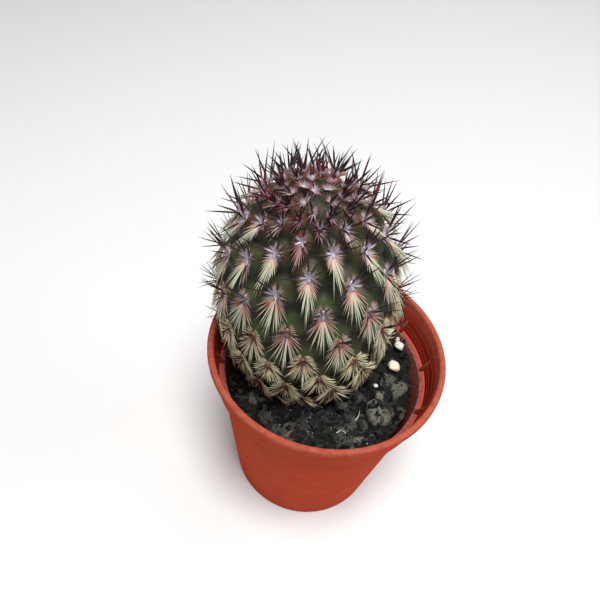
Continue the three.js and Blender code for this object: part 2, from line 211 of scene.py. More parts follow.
class Nodes:
    """A material's node tree, with short calls to add and link its nodes."""

    def __init__(self, name, **settings):
        self.material = bpy.data.materials.new(name)
        self.material.use_nodes = True
        self.tree = self.material.node_tree
        self.shader = self.tree.nodes["Principled BSDF"]
        names = {
            "color": "Base Color", "roughness": "Roughness", "specular": "Specular IOR Level",
            "scatter": "Subsurface Weight", "scatter_scale": "Subsurface Scale",
            "sheen": "Sheen Weight",
        }
        for key, value in settings.items():
            self.shader.inputs[names[key]].default_value = value

    def add(self, kind, **settings):
        node = self.tree.nodes.new(kind)
        for key, value in settings.items():
            setattr(node, key, value)
        return node

    def link(self, source, target):
        self.tree.links.new(source, target)

    def noise(self, scale, detail=4.0, roughness=0.55):
        node = self.add("ShaderNodeTexNoise")
        node.inputs["Scale"].default_value = scale
        node.inputs["Detail"].default_value = detail
        node.inputs["Roughness"].default_value = roughness
        self.link(self.add("ShaderNodeTexCoord").outputs["Object"], node.inputs["Vector"])
        return node.outputs["Fac"]

    def attribute(self, name):
        return self.add("ShaderNodeAttribute", attribute_name=name).outputs["Fac"]

    def ramp(self, source, stops):
        """Colours by the source's value; the stops give a colour for each position."""
        node = self.add("ShaderNodeValToRGB")
        elements = node.color_ramp.elements
        while len(elements) < len(stops):
            elements.new(0.5)
        for element, (position, colour) in zip(elements, stops.items()):
            element.position = position
            element.color = (*colour, 1)
        self.link(source, node.inputs["Fac"])
        return node.outputs["Color"]

    def levels(self, source, low, high, out_low=0.0, out_high=1.0):
        node = self.add("ShaderNodeMapRange")
        for key, value in zip(("From Min", "From Max", "To Min", "To Max"),
                              (low, high, out_low, out_high)):
            node.inputs[key].default_value = value
        self.link(source, node.inputs["Value"])
        return node.outputs["Result"]

    def blend(self, first, second, factor):
        node = self.add("ShaderNodeMix", data_type="RGBA")
        sockets = {socket.identifier: socket for socket in (*node.inputs, *node.outputs)}
        for key, value in (("A_Color", first), ("B_Color", second)):
            if isinstance(value, tuple):
                sockets[key].default_value = (*value, 1)
            else:
                self.link(value, sockets[key])
        self.link(factor, sockets["Factor_Float"])
        return sockets["Result_Color"]

    def layers(self, source, first, **others):
        """The first ramp's colours, covered by each other ramp where its attribute is high."""
        colour = self.ramp(source, first)
        for name, stops in others.items():
            colour = self.blend(colour, self.ramp(source, stops), self.attribute(name))
        return colour

    def color(self, source):
        self.link(source, self.shader.inputs["Base Color"])

    def roughness(self, source):
        self.link(source, self.shader.inputs["Roughness"])

    def bump(self, height, strength, distance):
        node = self.add("ShaderNodeBump")
        node.inputs["Strength"].default_value = strength
        node.inputs["Distance"].default_value = distance
        self.link(height, node.inputs["Height"])
        self.link(node.outputs["Normal"], self.shader.inputs["Normal"])


def plastic_material():
    n = Nodes("orange_plastic", specular=0.0)
    mottled = n.noise(180.0, 5.0)
    wall = n.ramp(mottled, {0.3: (0.430, 0.063, 0.032), 0.7: (0.465, 0.077, 0.042)})
    # The lip is painted darker than the wall to offset the strong light on its top, and its paler
    # patches are a painted sheen.
    lip_sheen = n.levels(n.noise(700.0, 4.0, 0.7), 0.35, 0.7)
    lip = n.blend((0.27, 0.048, 0.028), (0.34, 0.088, 0.060), lip_sheen)
    # The inside of the pot is painted a deep dark red: painted shade.
    inside_shade = n.blend((0.18, 0.016, 0.009), (0.24, 0.028, 0.015), mottled)
    # A pale pinkish band on the ledge and on the wall just below it: painted light, mottled darker
    # in patches.
    ledge_patches = n.levels(n.noise(1100.0, 5.0, 0.7), 0.42, 0.6)
    dust = n.blend((0.24, 0.096, 0.088), (0.150, 0.042, 0.034), ledge_patches)
    colour = n.blend(wall, inside_shade, n.attribute("inside"))
    colour = n.blend(colour, lip, n.attribute("lip"))
    n.color(n.blend(colour, dust, n.attribute("dust")))
    n.bump(n.noise(1500.0, 3.0), 0.06, 0.0002)
    return n.material


def soil_material():
    n = Nodes("moist_peat", specular=0.3)
    top = n.ramp(n.attribute("tone"), {
        0.0: (0.003, 0.003, 0.0035),
        0.30: (0.008, 0.0075, 0.0075),
        0.50: (0.017, 0.016, 0.0145),
        0.72: (0.085, 0.092, 0.076),
        1.0: (0.24, 0.23, 0.17),
    })
    grit = n.levels(n.noise(1700.0, 6.0, 0.7), 0.46, 0.64, 0.0, 0.75)
    gritty = n.blend(top, (0.004, 0.004, 0.004), grit)
    # Near black down in the cracks between the clods: painted shade.
    n.color(n.blend((0.0015, 0.0014, 0.0015), gritty, n.attribute("open")))
    n.roughness(n.levels(n.noise(420.0, 5.0, 0.65), 0.38, 0.58, 0.18, 0.95))
    n.bump(n.noise(1900.0, 8.0, 0.75), 1.0, 0.0007)
    return n.material


def crumb_material():
    n = Nodes("peat_crumbs", specular=0.25)
    base = n.ramp(n.attribute("tone"), {
        0.0: (0.005, 0.0045, 0.005),
        0.45: (0.013, 0.012, 0.011),
        0.75: (0.034, 0.034, 0.028),
        0.93: (0.070, 0.068, 0.054),
        1.0: (0.14, 0.10, 0.06),
    })
    grit = n.levels(n.noise(1300.0, 5.0), 0.45, 0.7, 0.0, 0.7)
    n.color(n.blend(base, (0.004, 0.004, 0.004), grit))
    n.roughness(n.levels(n.noise(700.0, 4.0), 0.42, 0.62, 0.24, 0.9))
    n.bump(n.noise(2600.0, 6.0, 0.7), 0.7, 0.0004)
    return n.material


def skin_material():
    n = Nodes("cactus_skin", specular=0.22, scatter=0.05, scatter_scale=0.002)
    # Darker down in the valleys between the tubercles and lighter on their tips: painted shade.
    skin = n.layers(n.attribute("ridge"), {
        0.0: (0.010, 0.013, 0.006),
        0.45: (0.030, 0.046, 0.015),
        1.0: (0.064, 0.080, 0.032),
    }, age={
        0.0: (0.014, 0.014, 0.009),
        0.5: (0.040, 0.042, 0.022),
        1.0: (0.085, 0.072, 0.036),
    })
    blotch = n.levels(n.noise(130.0, 3.0), 0.40, 0.58, 0.25, 1.0)
    flushed = n.blend(skin, (0.085, 0.007, 0.014), blotch)
    skin = n.blend(skin, flushed, n.attribute("flush"))
    specks = n.levels(n.noise(2200.0, 2.0), 0.62, 0.75, 0.0, 0.3)
    skin = n.blend(skin, (0.10, 0.11, 0.06), specks)
    shade = n.levels(n.noise(160.0, 4.0), 0.5, 0.75, 0.0, 0.5)
    n.color(n.blend(skin, (0.014, 0.016, 0.009), shade))
    n.roughness(n.levels(n.noise(800.0, 4.0), 0.3, 0.7, 0.42, 0.66))
    n.bump(n.noise(1800.0, 5.0), 0.25, 0.0003)
    return n.material


def radial_material():
    n = Nodes("radial_spines", specular=0.35, roughness=0.5, scatter=0.1, scatter_scale=0.0006)
    colour = n.layers(n.attribute("along"), {
        0.0: (0.46, 0.33, 0.32),
        0.10: (0.48, 0.35, 0.30),
        0.24: (0.48, 0.44, 0.33),
        0.45: (0.48, 0.52, 0.39),
        1.0: (0.56, 0.57, 0.41),
    }, red={
        0.0: (0.40, 0.15, 0.14),
        0.30: (0.38, 0.13, 0.11),
        0.55: (0.44, 0.28, 0.20),
        1.0: (0.60, 0.54, 0.38),
    }, age={
        0.0: (0.26, 0.12, 0.07),
        0.10: (0.62, 0.46, 0.27),
        0.26: (0.92, 0.82, 0.50),
        1.0: (0.98, 0.92, 0.62),
    }, comb={
        0.0: (0.48, 0.41, 0.43),
        0.50: (0.44, 0.35, 0.33),
        0.80: (0.24, 0.11, 0.10),
        1.0: (0.10, 0.045, 0.045),
    }, young={
        0.0: (0.66, 0.63, 0.71),
        0.30: (0.38, 0.26, 0.30),
        0.60: (0.14, 0.032, 0.038),
        1.0: (0.08, 0.018, 0.024),
    })
    colour = n.blend(colour, (0.17, 0.012, 0.024), n.attribute("blush"))
    shade = n.levels(n.attribute("tone"), 0.0, 1.0, 0.0, 0.4)
    n.color(n.blend(colour, (0.22, 0.17, 0.11), shade))
    return n.material


def central_material():
    n = Nodes("central_spines", specular=0.3, roughness=0.42)
    colour = n.layers(n.attribute("along"), {
        0.0: (0.80, 0.76, 0.84),
        0.14: (0.56, 0.50, 0.58),
        0.28: (0.045, 0.020, 0.028),
        0.60: (0.007, 0.0045, 0.006),
        1.0: (0.010, 0.006, 0.007),
    }, age={
        0.0: (0.09, 0.030, 0.026),
        0.25: (0.020, 0.008, 0.008),
        1.0: (0.016, 0.007, 0.007),
    })
    n.color(n.blend(colour, (0.15, 0.009, 0.02), n.attribute("red")))
    return n.material


def wool_material():
    n = Nodes("areole_wool", specular=0.1, roughness=0.95, sheen=0.3)
    fresh = n.ramp(n.attribute("tone"), {0.0: (0.44, 0.38, 0.43), 1.0: (0.54, 0.50, 0.56)})
    n.color(n.blend(fresh, (0.26, 0.14, 0.09), n.attribute("age")))
    return n.material


def perlite_material():
    n = Nodes("perlite", specular=0.3, roughness=0.85, scatter=0.2, scatter_scale=0.0008)
    stain = n.levels(n.noise(700.0, 4.0), 0.52, 0.72, 0.0, 0.55)
    chalk = n.blend((0.62, 0.63, 0.57), (0.78, 0.69, 0.52), n.attribute("cream"))
    n.color(n.blend(chalk, (0.42, 0.33, 0.20), stain))
    n.bump(n.noise(2400.0, 5.0, 0.7), 0.6, 0.0003)
    return n.material


def floor_material():
    n = Nodes("pale_floor", color=(0.62, 0.62, 0.62, 1), roughness=0.9, specular=0.1)
    return n.material


# Pot

def outside_radius(z):
    return mix(FOOT_RADIUS, TAPER_TOP_RADIUS, np.clip(z / TAPER_TOP, 0, 1))


def inside_radius(z):
    z = np.asarray(z, float)
    rise = np.clip((z - LEDGE_HEIGHT) / (SHOULDER - LEDGE_HEIGHT), 0, 1)
    return np.where(z < LEDGE_HEIGHT, outside_radius(z) - WALL, mix(COLLAR_BORE, BORE, rise))


def round_corner(before, corner, after, radius, steps=4):
    """Points of a small round corner between two straight stretches of a profile."""
    corner = np.array(corner, float)
    start, end = (corner + (point - corner) / np.linalg.norm(point - corner) * radius
                  for point in (np.array(before, float), np.array(after, float)))
    return [(1 - t) ** 2 * start + 2 * t * (1 - t) * corner + t * t * end
            for t in np.linspace(0, 1, steps + 1)]


def pot_profile():
    """The pot's section from the middle of its underside round to the middle of its floor."""
    ledge_inner = (float(inside_radius(LEDGE_HEIGHT - LEDGE_FALL)), LEDGE_HEIGHT - LEDGE_FALL)
    corners = [
        ((FOOT_RADIUS, 0.0), 0.7),
        ((TAPER_TOP_RADIUS, TAPER_TOP), 0.25),
        ((COLLAR_RADIUS, COLLAR_BASE), 0.35),
        ((COLLAR_TOP_RADIUS, LIP_BASE), 0.3),
        ((RIM_RADIUS, LIP_BASE + 0.1), 0.45),
        ((RIM_RADIUS, POT_HEIGHT), 0.7),
        ((BORE, POT_HEIGHT), 0.6),
        *inner_grooves(),
        ((COLLAR_BORE, LEDGE_HEIGHT), 0.12),
        (ledge_inner, 0.25),
        ((float(inside_radius(FLOOR)), FLOOR), 0.9),
    ]
    path = [(0.0, 0.0), *[c for c, _ in corners], (0.0, FLOOR)]
    profile = [np.array([0.0, 0.0])]
    for i, (corner, radius) in enumerate(corners):
        profile += round_corner(path[i], corner, path[i + 2], radius)
        if corner[1] < 1 or corner == ledge_inner:
            start, end = profile[-1], np.array(path[i + 2])
            profile += [mix(start, end, t) for t in (0.25, 0.5, 0.75)]
    profile.append(np.array([0.0, FLOOR]))
    return profile


def inner_grooves():
    """Fine turned steps on the collar's inner face, from the top down."""
    corners = []
    for height in GROOVE_HEIGHTS:
        face = float(inside_radius(height))
        corners.append(((face + 0.02, height + 0.14), 0.04))
        corners.append(((face - 0.11, height), 0.04))
    return corners


def ring_faces(rings, sides):
    """Faces of a closed skin made of a first point, rings of points and a last point."""
    last = 1 + rings * sides
    top = last - sides
    faces = []
    for k in range(sides):
        n = (k + 1) % sides
        faces.append((0, 1 + n, 1 + k))
        for low in range(1, top, sides):
            high = low + sides
            faces.append((low + k, low + n, high + n, high + k))
        faces.append((top + k, top + n, last))
    return faces


def prism_faces(count):
    """Faces of a prism: the points of an outline, then those of its copy above."""
    sides = [(k, (k + 1) % count, count + (k + 1) % count, count + k) for k in range(count)]
    return [tuple(range(count - 1, -1, -1)), tuple(range(count, 2 * count)), *sides]


def flipped(faces):
    return [(face[0], *face[:0:-1]) for face in faces]


def lathe(profile, sides):
    """Points and faces of a profile turned about the Z axis; its two ends lie on the axis."""
    turn = np.arange(sides) * 2 * math.pi / sides
    points = [np.array([0, 0, profile[0][1]])]
    for r, z in profile[1:-1]:
        points += list(np.c_[r * np.cos(turn), r * np.sin(turn), np.full(sides, z)])
    points.append(np.array([0, 0, profile[-1][1]]))
    return points, ring_faces(len(profile) - 2, sides)


def rib_shape(azimuth):
    """A stacking rib: an upright gusset between the ledge and the collar."""
    foot = LEDGE_HEIGHT - RIB_SUNK
    top = LEDGE_HEIGHT + RIB_HEIGHT
    outline = [(RIB_INNER, foot), (COLLAR_BORE + RIB_SUNK_IN_COLLAR, foot),
               (float(inside_radius(top)) + RIB_SUNK_IN_COLLAR, top),
               (RIB_INNER, LEDGE_HEIGHT + RIB_TOE)]
    points = []
    for side in (-0.5, 0.5):
        for r, z in outline:
            offset = side * RIB_THICKNESS
            points.append((r * math.cos(azimuth) - offset * math.sin(azimuth),
                           r * math.sin(azimuth) + offset * math.cos(azimuth), z))
    return points, flipped(prism_faces(len(outline)))


def joined(shapes):
    """One list of points and faces from several."""
    points, faces = [], []
    for shape_points, shape_faces in shapes:
        start = len(points)
        points += list(shape_points)
        faces += [tuple(start + v for v in face) for face in shape_faces]
    return points, faces


def pot_looks(points):
    """Where the plastic has the lip's darker colour and painted sheen, the inside's painted shade,
    and the ledge's painted light.
    """
    reach = np.hypot(points[:, 0], points[:, 1])
    z = points[:, 2]
    inside = (z > FLOOR - 0.1) & (reach < inside_radius(z) + 0.3)
    return {
        "lip": smoothstep(z, LIP_BASE + 0.4, POT_HEIGHT - 0.5),
        "inside": inside * (1 - smoothstep(z, SHOULDER - 0.9, POT_HEIGHT - 0.2)),
        "dust": inside * smoothstep(z, LEDGE_HEIGHT - 3, LEDGE_HEIGHT - 0.6)
        * (1 - smoothstep(reach, COLLAR_BORE - 0.1, COLLAR_BORE + 0.02)),
    }


def make_pot(material):
    points, faces = lathe(pot_profile(), POT_SIDES)
    pot = mesh_object("pot_shell", points, faces, material, **pot_looks(np.array(points)))
    drains = []
    for k in range(DRAINS):
        low, high = -2.0, 4.0
        tube, faces = lathe([(0, low), (DRAIN_RADIUS, low), (DRAIN_RADIUS, high), (0, high)], 32)
        drains.append((tube + np.array([*polar(DRAIN_CIRCLE, k * 2 * math.pi / DRAINS), 0]), faces))
    cutter = mesh_object("drain_cutter", *joined(drains), material)
    cut_away(pot, cutter)
    ribs = joined([rib_shape(RIB_START + k * 2 * math.pi / RIBS) for k in range(RIBS)])
    height = np.array(ribs[0])[:, 2]
    # The ribs take the inside's painted shade, and their upper ends the lip's paler colours:
    # painted light on those ends.
    upper_end = height > LEDGE_HEIGHT + RIB_HEIGHT - 0.5
    rib_piece = mesh_object("pot_stacking_ribs", *ribs, material, smooth=False,
                            lip=0.9 * upper_end, dust=0 * height, inside=0 * height + 1)
    bevel = rib_piece.modifiers.new("soft edges", "BEVEL")
    bevel.width = 0.12 * MM
    bevel.segments = 2
    bevel.limit_method = "ANGLE"
    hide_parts("pot")
    return [pot, rib_piece]


# Soil

GRAIN_PLACES = {
    name: (*polar(r, math.radians(a)), size)
    for name, (r, a, size) in GRAINS.items()
}

SOIL_SIDES = 400
SOIL_RINGS = 130

# Corners of a perlite grain, and how many loose bits lie on the soil
GRAIN_CORNERS = 15
CRUMBS = 1100
BARK_CHIPS = 60
FIBRES = 110
SPECKS = 34

# Depth of the cracks in the soil's top, how far it falls short of the pot's wall in places, and
# how far out the clods lie
CRACK_DEPTH = 1.8
RAGGED_EDGE = 1.6
CLOD_REACH = 25.5

# Clods of the soil's top: how many, smallest and largest reach, lift
CLOD_SIZES = ((46, 1.5, 2.6, 0.30), (190, 0.8, 1.5, 0.12), (420, 0.35, 0.8, 0.05))

# Larger lumps that show between the plant and the rim: their rise, then x, y, reach and tone
NOTED_LIFT = 0.9
NOTED_LUMPS = (
    (-13.5, -10.6, 2.0, 0.84),
    (8.4, -16.1, 1.8, 0.66),
    (15.2, -6.9, 2.9, 0.88),
    (15.4, -2.6, 1.7, 0.95),
    (15.9, 1.9, 1.8, 0.80),
    (6.3, -6.3, 1.9, 0.74),
    (9.3, -4.2, 1.7, 0.70),
    (2.5, -11.6, 1.6, 0.55),
    (19.0, 0.3, 1.8, 0.84),
    (-2.0, -14.7, 1.5, 0.58),
    (9.6, -11.5, 2.2, 0.68),
)


def soil_bumps():
    draw = random_source(11)
    bumps = []
    for _ in range(BUMPS):
        distance = BUMP_REACH * math.sqrt(draw())
        azimuth = 2 * math.pi * draw()
        reach = mix(2, 4.2, draw())
        lift = CRUMB_LIFT * mix(-1, 1.3, draw())
        bumps.append((*polar(distance, azimuth), reach, lift))
    return bumps


SOIL_BUMPS = soil_bumps()


def open_soil(x, y):
    mound_x, mound_y = polar(MOUND_DISTANCE, MOUND_AZIMUTH)
    from_mound = np.hypot(x - mound_x, y - mound_y) / MOUND_SPREAD
    z = SOIL_LEVEL + MOUND_HEIGHT * np.exp(-from_mound ** 2)
    z = z - LEFT_DROP * smoothstep(-x, 6, 22)
    for bump_x, bump_y, reach, lift in SOIL_BUMPS:
        near = np.minimum(1, np.hypot(x - bump_x, y - bump_y) / reach)
        z = z + lift * (1 - near * near) ** 2
    return z


def soil_height(x, y):
    x, y = np.asarray(x, float), np.asarray(y, float)
    z = open_soil(x, y)
    for grain_x, grain_y, size in GRAIN_PLACES.values():
        away = np.hypot(x - grain_x, y - grain_y)
        level = open_soil(np.float64(grain_x), np.float64(grain_y))
        z = mix(level, z, smoothstep(away, size * 0.5 + 1.2, size * 0.5 + 3.2))
    return z


def soil_edge(azimuth):
    wall = inside_radius(SOIL_LEVEL)
    height = soil_height(wall * np.cos(azimuth), wall * np.sin(azimuth)) - EDGE_DROP - 1
    shrink = SHRINK * np.maximum(0, np.cos(azimuth - SHRINK_AZIMUTH))
    return inside_radius(height) - CLEARANCE - shrink


def make_clods():
    """Clods of the soil's top: place, reach, stretch, turn, tilt, flatness, rise and tone."""
    rng = np.random.default_rng(31)
    clods = []
    for count, small, large, lift in CLOD_SIZES:
        for _ in range(count):
            distance = CLOD_REACH * math.sqrt(rng.uniform())
            azimuth = rng.uniform(0, 2 * math.pi)
            clods.append((*polar(distance, azimuth), rng.uniform(small, large),
                          rng.uniform(1.0, 1.7), rng.uniform(0, math.pi), rng.normal(0, 0.22, 2),
                          rng.choice([2, 3, 5, 8]), lift + rng.normal(0, 0.25),
                          rng.beta(1.1, 1.9)))
    for x, y, reach, tone in NOTED_LUMPS:
        clods.append((x, y, reach, 1.15, rng.uniform(0, math.pi), rng.normal(0, 0.1, 2),
                      6, NOTED_LIFT, tone))
    return clods


CLODS = make_clods()


def broken_ground(x, y):
    """Height of the clods over the soil's main shape, and the tone of the clod on top."""
    height = np.full(x.shape, -CRACK_DEPTH)
    tone = np.zeros(x.shape)
    for cx, cy, reach, stretch, turn, tilt, flat, rise, clod_tone in CLODS:
        along = (x - cx) * math.cos(turn) + (y - cy) * math.sin(turn)
        across = (y - cy) * math.cos(turn) - (x - cx) * math.sin(turn)
        share = (np.abs(along / stretch) ** 3 + np.abs(across) ** 3) ** (1 / 3) / reach
        crown = 0.85 * reach ** 0.7
        lump = rise + crown * np.sqrt(np.maximum(0, 1 - share ** flat)) - 0.95
        lump = np.where(share < 1, lump + tilt[0] * along + tilt[1] * across, -9)
        above = lump > height
        height = np.where(above, lump, height)
        tone = np.where(above, clod_tone, tone)
    return height, tone


def grain_roughness(points):
    """Fine unevenness of the soil's top."""
    fine = [0.16 * noise.noise(Vector((x / 0.9, y / 0.9, 7.7)))
            + 0.11 * noise.noise(Vector((x / 0.4, y / 0.4, 1.9))) for x, y, _ in points]
    return np.array(fine)


def near_grains(x, y):
    """1 on the flat spots that the perlite lies on, falling to 0 beside them."""
    share = np.zeros(np.shape(x))
    for grain_x, grain_y, size in GRAIN_PLACES.values():
        away = np.hypot(x - grain_x, y - grain_y)
        share = np.maximum(share, 1 - smoothstep(away, size * 0.5 + 0.1, size * 0.5 + 1.4))
    return share


def make_soil(material):
    turn = np.arange(SOIL_SIDES) * 2 * math.pi / SOIL_SIDES
    ragged = np.array([noise.noise(Vector((9 * math.cos(t), 9 * math.sin(t), 4.2))) for t in turn])
    edge = soil_edge(turn) - RAGGED_EDGE * np.maximum(0, ragged)
    points, tones, opens = [np.array([0, 0, soil_height(0, 0)])], [0.5], [1.0]
    for ring in range(1, SOIL_RINGS + 1):
        part = (ring / SOIL_RINGS) ** 0.85
        x, y = edge * part * np.cos(turn), edge * part * np.sin(turn)
        level = np.c_[x, y, soil_height(x, y) - EDGE_DROP * smoothstep(part, 0.93, 1.0)]
        lumps, tone = broken_ground(x, y)
        free = (1 - near_grains(x, y)) * (1 - 0.5 * smoothstep(part, 0.97, 1.0))
        level[:, 2] += (lumps + grain_roughness(level)) * free
        points += list(level)
        tones += list(tone)
        # 0 deep in the cracks, where the soil is painted with shade, rising to 1 on the clods.
        opens += list(smoothstep(lumps, -1.1, 0.0))
    base = FLOOR + CLEARANCE
    base_radius = inside_radius(base) - CLEARANCE - 1.0
    points += list(np.c_[base_radius * np.cos(turn), base_radius * np.sin(turn),
                         np.full(SOIL_SIDES, base)])
    points.append(np.array([0, 0, base]))
    tones += [0.5] * (SOIL_SIDES + 1)
    opens += [1.0] * (SOIL_SIDES + 1)
    faces = flipped(ring_faces(SOIL_RINGS + 1, SOIL_SIDES))
    soil = mesh_object("soil_surface", points, faces, material, tone=tones, open=opens)
    cut_away(soil, stem_cutter(material))
    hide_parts("soil")
    return soil


def stem_cutter(material):
    """The plain hole that the foot of the stem stands in."""
    profile = [np.array([math.sin(t), -math.cos(t)]) for t in np.linspace(0, math.pi, 40)]
    ball, faces = lathe(profile, 64)
    ball = np.array(ball)
    depth = np.where(ball[:, 2:] > 0, STEM_ABOVE, STEM_BELOW)
    girth = STEM_RADIUS - 1.2
    points = STEM_CENTRE + girth * (ball[:, :1] * ACROSS + ball[:, 1:2] * ALONG)
    points = points + depth * ball[:, 2:] * LEAN
    return mesh_object("stem_cutter", points, faces, material)


def taken_from(shell):
    """Points and faces of a bmesh, which is freed."""
    shell.verts.index_update()
    points = np.array([v.co for v in shell.verts])
    faces = [tuple(v.index for v in f.verts) for f in shell.faces]
    shell.free()
    return points, faces


def icosphere(subdivisions):
    shell = bmesh.new()
    bmesh.ops.create_icosphere(shell, subdivisions=subdivisions, radius=1.0)
    return taken_from(shell)


def turned(rng, points):
    """The points after a random turn about all three axes."""
    axis = rng.normal(size=3)
    turn = Matrix.Rotation(rng.uniform(0, 2 * math.pi), 3, Vector(axis).normalized())
    return points @ np.array(turn).T


def outside_stem(x, y, z, margin):
    """Whether places on the soil lie off the stem's foot."""
    rise = z - STEM_CENTRE[2]
    centre_x = STEM_CENTRE[0] + LEAN[0] / LEAN[2] * rise
    centre_y = STEM_CENTRE[1] + LEAN[1] / LEAN[2] * rise
    share = np.clip(rise / STEM_BELOW, -1, 1)
    girth = STEM_RADIUS * np.sqrt(1 - share ** 2)
    return np.hypot(x - centre_x, y - centre_y) > girth + margin


def soil_spots(rng, count, margin, inset=0.4):
    """Random places on the open soil, as an array of x, y, z."""
    spots = []
    while len(spots) < count:
        azimuth = rng.uniform(0, 2 * math.pi)
        reach = (float(soil_edge(azimuth)) - inset) * math.sqrt(rng.uniform(0, 1))
        x, y = polar(reach, azimuth)
        z = float(soil_height(x, y))
        off_grains = all(math.hypot(x - gx, y - gy) > size / 2 + 0.7
                         for gx, gy, size in GRAIN_PLACES.values())
        if off_grains and outside_stem(x, y, z, margin):
            spots.append((x, y, z))
    return np.array(spots)


def ground_top(x, y):
    """Height of the visible soil, clods included."""
    lumps, _ = broken_ground(x, y)
    return soil_height(x, y) + lumps * (1 - near_grains(x, y))


def on_ground(spots):
    """The spots, moved up or down to the top of the clods."""
    return np.c_[spots[:, :2], ground_top(spots[:, 0], spots[:, 1])]


def make_crumbs(material):
    rng = np.random.default_rng(5)
    ball, ball_faces = icosphere(1)
    shapes, tones = [], []
    for x, y, top in on_ground(soil_spots(rng, CRUMBS, 0.2)):
        size = 0.16 + 0.75 * rng.uniform() ** 3.2
        lumpy = ball * (1 + 0.25 * rng.normal(size=(len(ball), 1))) * rng.uniform(0.55, 1.2, 3)
        chunk = turned(rng, lumpy) * size
        z = top + size * rng.uniform(-0.2, 0.35)
        shapes.append((chunk + (x, y, z), ball_faces))
        tones += [rng.beta(1.3, 2.4)] * len(ball)
    points, faces = joined(shapes)
    return mesh_object("soil_crumbs", points, faces, material, smooth=False, tone=tones)


def make_bark(material):
    """Flat splintered chips of bark lying in the soil."""
    rng = np.random.default_rng(8)
    shapes, tones = [], []
    for x, y, top in on_ground(soil_spots(rng, BARK_CHIPS, 1.0, 1.4)):
        length, width = rng.uniform(1.3, 4.2), rng.uniform(0.5, 1.5)
        thickness = rng.uniform(0.25, 0.6)
        ends = 6
        outline = []
        for k in range(2 * ends):
            along = (k if k < ends else 2 * ends - 1 - k) / (ends - 1) - 0.5
            side = 0.5 if k < ends else -0.5
            taper = 1 - 1.3 * abs(along) ** 2
            outline.append((along * length, side * width * taper * rng.uniform(0.7, 1.15)))
        points = [(px, py, h * thickness + 0.10 * rng.normal()) for h in (-0.5, 0.5)
                  for px, py in outline]
        tilt = Matrix.Rotation(rng.uniform(-0.6, 0.6), 3, "X") @ Matrix.Rotation(
            rng.uniform(-0.4, 0.4), 3, "Y")
        spin = Matrix.Rotation(rng.uniform(0, 2 * math.pi), 3, "Z") @ tilt
        z = top + rng.uniform(-0.1, 0.35)
        chip = np.array(points) @ np.array(spin).T + (x, y, z)
        shapes.append((chip, prism_faces(len(outline))))
        tones += [rng.uniform(0.1, 1.0) ** 1.6] * len(chip)
    points, faces = joined(shapes)
    return mesh_object("bark_chips", points, faces, material, smooth=False, tone=tones)


def make_fibres(material):
    """Thin root fibres and straws that curl over the soil."""
    rng = np.random.default_rng(13)
    spots = soil_spots(rng, FIBRES, 0.6, 1.2)
    azimuth = rng.uniform(0, 2 * math.pi, len(spots))
    heading = np.c_[np.cos(azimuth), np.sin(azimuth), rng.uniform(-0.1, 0.35, len(spots))]
    bend = np.c_[rng.normal(0, 0.35, (len(spots), 2)), -0.25 * np.ones(len(spots))]
    length = rng.uniform(1.0, 3.6, len(spots))
    roots = on_ground(spots) + (0, 0, 0.1)
    points, faces, _, owner = needles(roots, heading, bend, length, 0.05, 4, 6)
    tone = rng.uniform(0.3, 1.0, len(spots))[owner]
    return mesh_object("soil_fibres", points, faces, material, tone=tone)


# A curled whitish fibre on the open soil, then two short pale flecks that are painted highlights
# for wet glints: x, y, heading, length
PALE_FIBRE_AND_GLINTS = ((10.0, -11.4, 0.95, 3.1), (6.4, -14.8, 0.5, 1.9), (8.4, -15.4, 2.2, 1.3))


def make_specks(material):
    """Fine pale grit scattered in the soil, a whitish fibre, and pale flecks that are painted
    highlights for wet glints.
    """
    rng = np.random.default_rng(21)
    ball, ball_faces = icosphere(1)
    shapes = []
    for x, y, top in on_ground(soil_spots(rng, SPECKS, 0.5, 1.0)):
        size = 0.07 + 0.16 * rng.uniform() ** 2
        chunk = turned(rng, ball * rng.uniform(0.6, 1.2, 3)) * size
        shapes.append((chunk + (x, y, top + 0.08), ball_faces))
    # The whitish fibre, and pale flecks put on the soil as painted highlights for wet glints.
    for x, y, azimuth, length in PALE_FIBRE_AND_GLINTS:
        root = on_ground(np.array([[x, y, 0]])) + (0, 0, 0.3)
        heading = np.array([[math.cos(azimuth), math.sin(azimuth), 0.12]])
        bend = np.array([[-0.5 * math.sin(azimuth), 0.5 * math.cos(azimuth), -0.1]])
        shapes.append(needles(root, heading, bend, length, 0.11, 5, 6)[:2])
    return mesh_object("pale_grit_and_glints", *joined(shapes), material)


def make_grain(name, material, seed):
    """A pebble with flat faces: the hull of a few points, with soft edges."""
    x, y, size = GRAIN_PLACES[name]
    rng = np.random.default_rng(seed)
    corners = rng.normal(size=(GRAIN_CORNERS, 3))
    corners = corners / np.linalg.norm(corners, axis=1, keepdims=True) * (1, 0.95, 0.8)
    shell = bmesh.new()
    for corner in corners * size / 2 * 1.15:
        shell.verts.new(corner)
    hull = bmesh.ops.convex_hull(shell, input=shell.verts)
    bmesh.ops.delete(shell, geom=hull["geom_unused"] + hull["geom_interior"], context="VERTS")
    bmesh.ops.bevel(shell, geom=shell.edges[:], offset=0.09 * size, segments=3, affect="EDGES",
                    clamp_overlap=True)
    points, faces = taken_from(shell)
    points[:, 2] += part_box(name)[0].z / MM - points[:, 2].min()
    grain = mesh_object(name + "_grain", points + (x, y, 0), faces, material,
                        cream=np.full(len(points), float(name == "perlite_2")))
    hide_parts(name)
    return grain


# Stem

LEAN = STEM_LEAN / np.linalg.norm(STEM_LEAN)
ACROSS = np.array([1.0, 0, 0]) - LEAN[0] * LEAN
ACROSS = ACROSS / np.linalg.norm(ACROSS)
ALONG = np.cross(LEAN, ACROSS)


